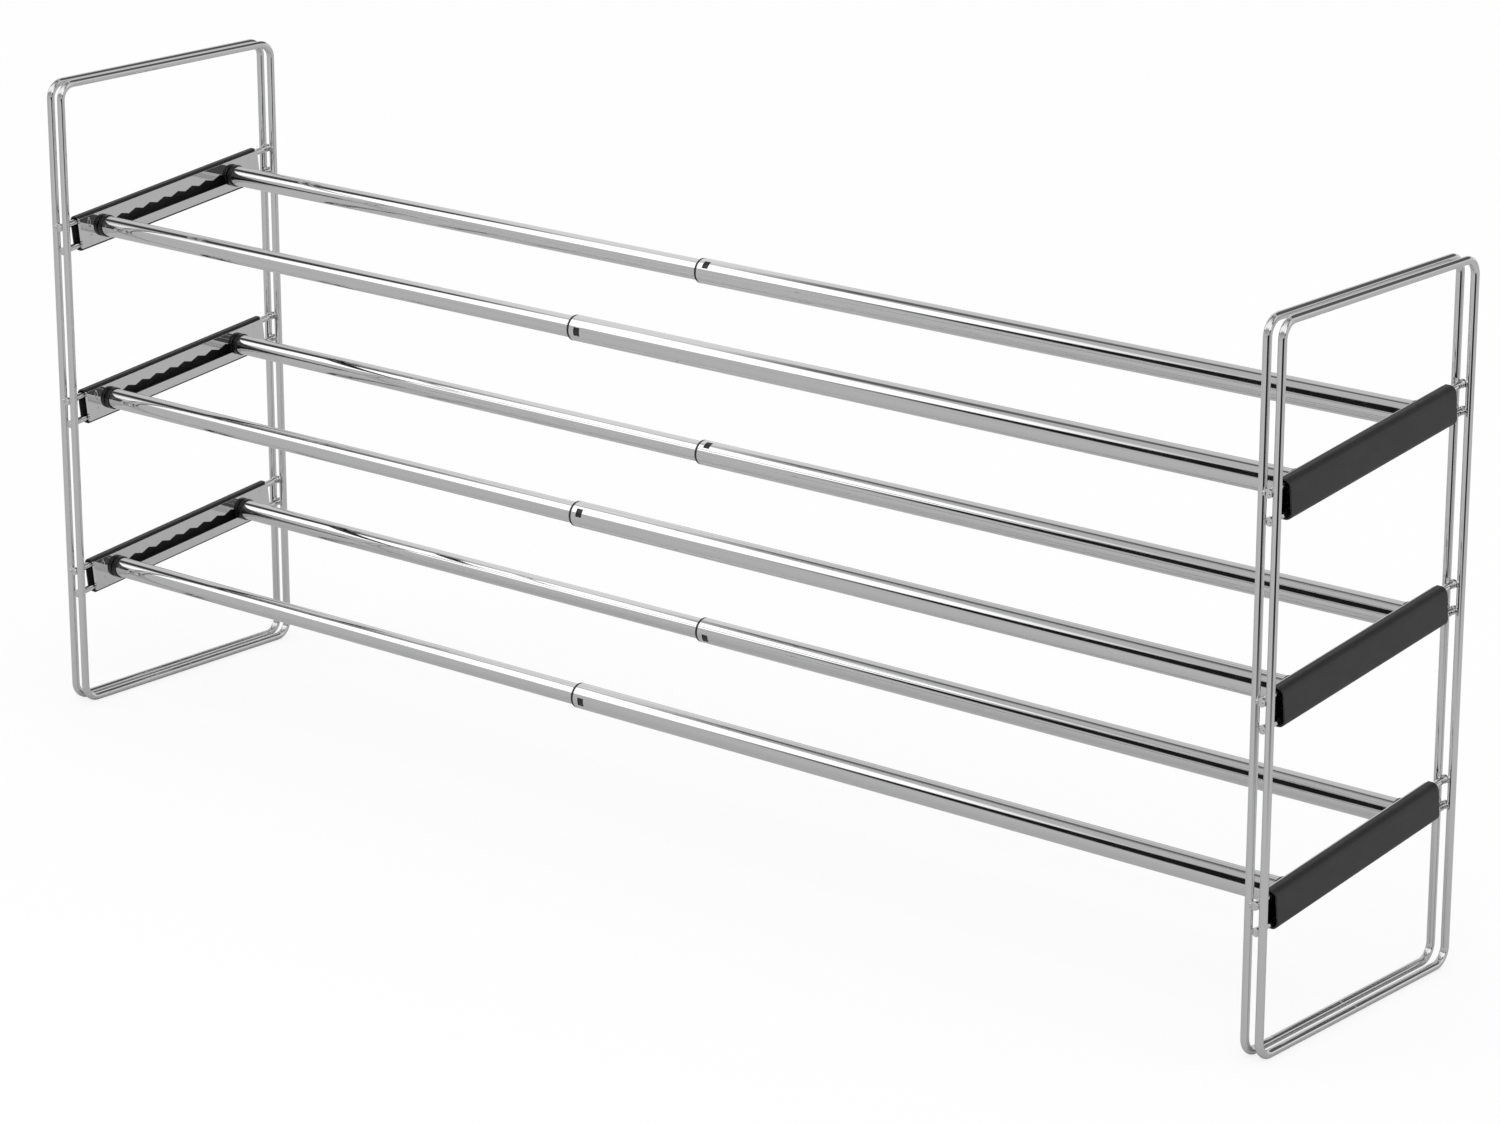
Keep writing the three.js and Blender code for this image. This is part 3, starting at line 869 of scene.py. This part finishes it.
inner_round = COVER_ROUND - COVER_WALL
round_across = COVER_FACE - COVER_ROUND
round_up = COVER_TOP - COVER_ROUND
inner_top = COVER_TOP - COVER_WALL
upper_half = [
    *quarter_round(round_across, round_up, COVER_ROUND, 0, 90),
    (-COVER_LIP, COVER_TOP),
    (-COVER_LIP, inner_top - COVER_HOOK),
    (COVER_HOOK - COVER_LIP, inner_top),
    *quarter_round(round_across, round_up, inner_round, 90, 0),
]
section = upper_half + [(across, -up) for across, up in reversed(upper_half)]
print("Points in the section:", len(section))

# %% Pull the cover out along the wires
def pulled_out(start, end):
    """A solid between two equal outlines, as corners and faces."""
    count = len(start)
    faces = [tuple(range(count)), tuple(range(count, 2 * count))]
    for index in range(count):
        after = (index + 1) % count
        faces.append((index, after, count + after, count + index))
    return [*start, *end], faces


cover_front = [(-across, -PLATE_LENGTH / 2, up) for across, up in section]
cover_rear = [(-across, PLATE_LENGTH / 2, up) for across, up in section]
cover_mesh = make_mesh("Slot cover", *pulled_out(cover_front, cover_rear))
for side in SIDES:
    for tier in TIERS:
        node = f"{side}_{tier}_cover"
        cover = put(f"{node}_moulded", cover_mesh, matt_plastic, "black_plastic", f"{side}_frame",
                    on_tier(tier) @ at_end(side), node)
        bevel_edges(cover, COVER_EDGE)
print("Covers are", round(2 * COVER_TOP / MM, 1), "mm high")

# %% [markdown]
# ## The plugs
#
# A plastic plug ends each bar. From the inside out it has a shank pushed into the tube, a cap
# that is a soft ring a little wider than the tube, a flat neck that passes through the slot,
# and a wide head that keeps it there. The ring lies close to the plate, so its mirror image
# looks like a second ring. The round part is turned. The neck and the head are blocks, whose
# edges are cut with bmesh.

# %% Make the plugs
INNER_TUBE = 15.8 * MM
OUTER_TUBE = 19.0 * MM
TUBE_WALL = 0.7 * MM
CAP_START = plate_face + PLAY
CAP_LENGTH = 4.2 * MM
CAP_RIM = 0.85 * MM
SHANK_LENGTH = 22 * MM
NECK = (5.6 * MM, SLOT_FLOOR + PLAY, SLOT_TIP - PLAY)
NECK_SINK = 1 * MM
HEAD = (14 * MM, -6.3 * MM, 6.3 * MM)
HEAD_START = 0.8 * MM
HEAD_END = wire_radius
BLOCK_EDGE = 0.4 * MM
PLUG_SIDES = 64


def soft_block(start, end, width, low, high, edge):
    """A block with soft edges, as corners and faces."""
    shape = bmesh.new()
    bmesh.ops.create_cube(shape, size=1)
    for corner in shape.verts:
        corner.co.x = end if corner.co.x > 0 else start
        corner.co.y *= width
        corner.co.z = high if corner.co.z > 0 else low
    edges = shape.edges[:]
    bmesh.ops.bevel(shape, geom=edges, offset=edge, segments=3, profile=0.5, affect="EDGES")
    corners = [corner.co.copy() for corner in shape.verts]
    faces = [tuple(corner.index for corner in face.verts) for face in shape.faces]
    shape.free()
    return corners, faces


def plug_shape(tube):
    cap = tube / 2 + CAP_RIM
    cap_end = CAP_START + CAP_LENGTH
    shank = tube / 2 - TUBE_WALL - PLAY
    path = softened(
        [
            (CAP_START, 0, 0),
            (CAP_START, cap, 1.1 * MM),
            (cap_end, cap, 0.6 * MM),
            (cap_end, shank, 0.2 * MM),
            (cap_end + SHANK_LENGTH, shank, 0.5 * MM),
            (cap_end + SHANK_LENGTH, 0, 0),
        ],
        steps=6,
    )
    neck = soft_block(HEAD_START, CAP_START + NECK_SINK, *NECK, BLOCK_EDGE)
    head = soft_block(HEAD_START, HEAD_END, *HEAD, BLOCK_EDGE)
    return join(lathe(path, PLUG_SIDES), neck, head)


plug_meshes = {
    "left": make_mesh("Plug for the inner tube", *plug_shape(INNER_TUBE)),
    "right": make_mesh("Plug for the outer tube", *plug_shape(OUTER_TUBE)),
}
plug_bodies = {"left": "inner_bar", "right": "outer_bar"}
for tier in TIERS:
    for row in ROWS:
        for side in SIDES:
            node = f"{tier}_{row}_{side}_plug"
            put(f"{node}_moulded", plug_meshes[side], satin_plastic, "black_plastic",
                f"{tier}_{row}_{plug_bodies[side]}", at_bar(tier, row) @ at_end(side), node)
print("Corners in a plug:", len(plug_meshes["left"].vertices))

# %% [markdown]
# ## The inner tubes
#
# The thinner tube is plain: cut to length, with the burr taken off both ends. The path goes
# out along the outside and back along the inside, so the lathe makes a real wall.

# %% Turn the inner tubes
TUBE_SIDES = 72
inner_low, inner_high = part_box("top_front_inner_tube")
EASED = 0.15 * MM
inner_path = softened(
    [
        (inner_low.x, INNER_TUBE / 2 - TUBE_WALL, EASED),
        (inner_low.x, INNER_TUBE / 2, EASED),
        (inner_high.x, INNER_TUBE / 2, EASED),
        (inner_high.x, INNER_TUBE / 2 - TUBE_WALL, EASED),
    ]
)
inner_mesh = make_mesh("Inner tube", *lathe(inner_path, TUBE_SIDES, closed=True))
for tier in TIERS:
    for row in ROWS:
        node = f"{tier}_{row}_inner_tube"
        put(f"{node}_polished", inner_mesh, tube_chrome, "chrome", f"{tier}_{row}_inner_bar",
            at_bar(tier, row), node)
print("Inner tubes are", round((inner_high.x - inner_low.x) / MM, 1), "mm long")

# %% [markdown]
# ## The outer tubes
#
# The wider tube has a small window near its mouth, and the latch of the black ring shows
# through it. Each bar was turned a little differently when it was put together, so the window
# faces the front on some bars and the top on others.
#
# A Boolean could cut the window, but it would leave long thin faces that dent the reflection.
# Instead the tube is laid out as a grid of faces with columns at the window's edges, and the
# faces in the window are left out. A row of faces stands guard close to each edge, so that the
# smooth shading stays flat beyond it. Solidify then makes the wall.

# %% Roll the outer tubes
outer_low, outer_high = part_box("top_front_outer_tube")
MOUTH = outer_low.x
WINDOW_MIDDLE = MOUTH + 7.4 * MM
WINDOW_LENGTH = 5.6 * MM
WINDOW_HEIGHT = 6.3 * MM
WINDOW_TURNS = {
    "top": {"front": 0, "rear": 48},
    "middle": {"front": 25, "rear": 60},
    "bottom": {"front": -8, "rear": -20},
}
OPEN_STEPS = 6
CLOSED_STEPS = 58
GUARD = 0.8 * MM
TUBE_EDGE = 0.1 * MM

window_half = math.asin(WINDOW_HEIGHT / OUTER_TUBE)
window_start = WINDOW_MIDDLE - WINDOW_LENGTH / 2
window_end = WINDOW_MIDDLE + WINDOW_LENGTH / 2
rows_x = [
    MOUTH,
    MOUTH + GUARD,
    window_start - GUARD,
    window_start,
    WINDOW_MIDDLE,
    window_end,
    window_end + GUARD,
    window_end + 6 * MM,
    outer_high.x - GUARD,
    outer_high.x,
]
angles = [-window_half + 2 * window_half * step / OPEN_STEPS for step in range(OPEN_STEPS)]
closed_arc = 2 * math.pi - 2 * window_half
angles += [window_half + closed_arc * step / CLOSED_STEPS for step in range(CLOSED_STEPS)]


def rolled_sheet(radius):
    """A round sheet whose window faces -Y."""
    corners = [
        (x, -radius * math.cos(angle), radius * math.sin(angle)) for x in rows_x for angle in angles
    ]
    across = len(angles)
    faces = []
    for row in range(len(rows_x) - 1):
        for column in range(across):
            in_window = column < OPEN_STEPS and window_start <= rows_x[row] < window_end
            if in_window:
                continue
            here = row * across + column
            beside = row * across + (column + 1) % across
            faces.append((here, here + across, beside + across, beside))
    return corners, faces


outer_mesh = bpy.data.meshes.new("Outer tube")
sheet_corners, sheet_faces = rolled_sheet(OUTER_TUBE / 2)
outer_mesh.from_pydata(sheet_corners, [], sheet_faces)
outer_mesh.shade_smooth()


def window_turn(tier, row):
    """Turns a bar's window from facing -Y of the sloping tier to where it faces on this bar."""
    return Matrix.Rotation(-math.radians(WINDOW_TURNS[tier][row]) - slope, 4, "X")


for tier in TIERS:
    for row in ROWS:
        node = f"{tier}_{row}_outer_tube"
        tube = put(f"{node}_polished", outer_mesh, tube_chrome, "chrome", f"{tier}_{row}_outer_bar",
                   at_bar(tier, row) @ window_turn(tier, row), node)
        wall = tube.modifiers.new("Wall", "SOLIDIFY")
        wall.thickness = TUBE_WALL
        wall.offset = -1
        bevel_edges(tube, TUBE_EDGE, segments=2)
print("Outer tubes are", round((outer_high.x - outer_low.x) / MM, 1), "mm long")

# %% [markdown]
# ## The collars
#
# A black ring closes the gap at the mouth of the outer tube. Its sleeve reaches into the tube,
# so metal never rubs on metal. The latch is a curved tongue on the sleeve that stands up into
# the window.

# %% Mould the collars and their latches
COLLAR_LENGTH = 1.8 * MM
SLEEVE_LENGTH = 24 * MM
SLEEVE_WALL = 0.5 * MM
SLEEVE_PLAY = 0.2 * MM
LATCH_STEPS = 8
LATCH_EDGE = 0.25 * MM
ring_end = MOUTH - PLAY
ring_start = ring_end - COLLAR_LENGTH
ring_radius = OUTER_TUBE / 2
sleeve_inside = INNER_TUBE / 2 + SLEEVE_PLAY
sleeve_outside = sleeve_inside + SLEEVE_WALL
collar_path = softened(
    [
        (ring_start, sleeve_inside, 0.12 * MM),
        (ring_start, ring_radius, 0.5 * MM),
        (ring_end, ring_radius, 0.3 * MM),
        (ring_end, sleeve_outside, 0.1 * MM),
        (MOUTH + SLEEVE_LENGTH, sleeve_outside, 0.15 * MM),
        (MOUTH + SLEEVE_LENGTH, sleeve_inside, 0.15 * MM),
    ]
)
collar_mesh = make_mesh("Collar", *lathe(collar_path, TUBE_SIDES, closed=True))

latch_inside = (sleeve_inside + sleeve_outside) / 2
latch_outside = ring_radius - PLAY
latch_half = math.asin((WINDOW_HEIGHT / 2 - PLAY) / latch_outside)
latch_section = []
for radius, direction in ((latch_inside, 1), (latch_outside, -1)):
    for step in range(LATCH_STEPS + 1):
        angle = direction * latch_half * (2 * step / LATCH_STEPS - 1)
        latch_section.append((-radius * math.cos(angle), radius * math.sin(angle)))
latch_left = [(window_start + PLAY, y, z) for y, z in latch_section]
latch_right = [(window_end - PLAY, y, z) for y, z in latch_section]
latch_mesh = make_mesh("Latch", *pulled_out(latch_left, latch_right))

for tier in TIERS:
    for row in ROWS:
        node = f"{tier}_{row}_collar"
        body = f"{tier}_{row}_outer_bar"
        bar = at_bar(tier, row)
        put(f"{node}_moulded", collar_mesh, satin_plastic, "black_plastic", body, bar, node)
        latch = put(f"{tier}_{row}_latch", latch_mesh, satin_plastic, "black_plastic", body,
                    bar @ window_turn(tier, row))
        bevel_edges(latch, LATCH_EDGE)
print("Collars and latches:", len(TIERS) * len(ROWS))

# %% [markdown]
# ## Colour
#
# The Standard view shows a colour as it is written, which suits a product on white.

# %% Finish
bpy.context.scene.view_settings.view_transform = "Standard"
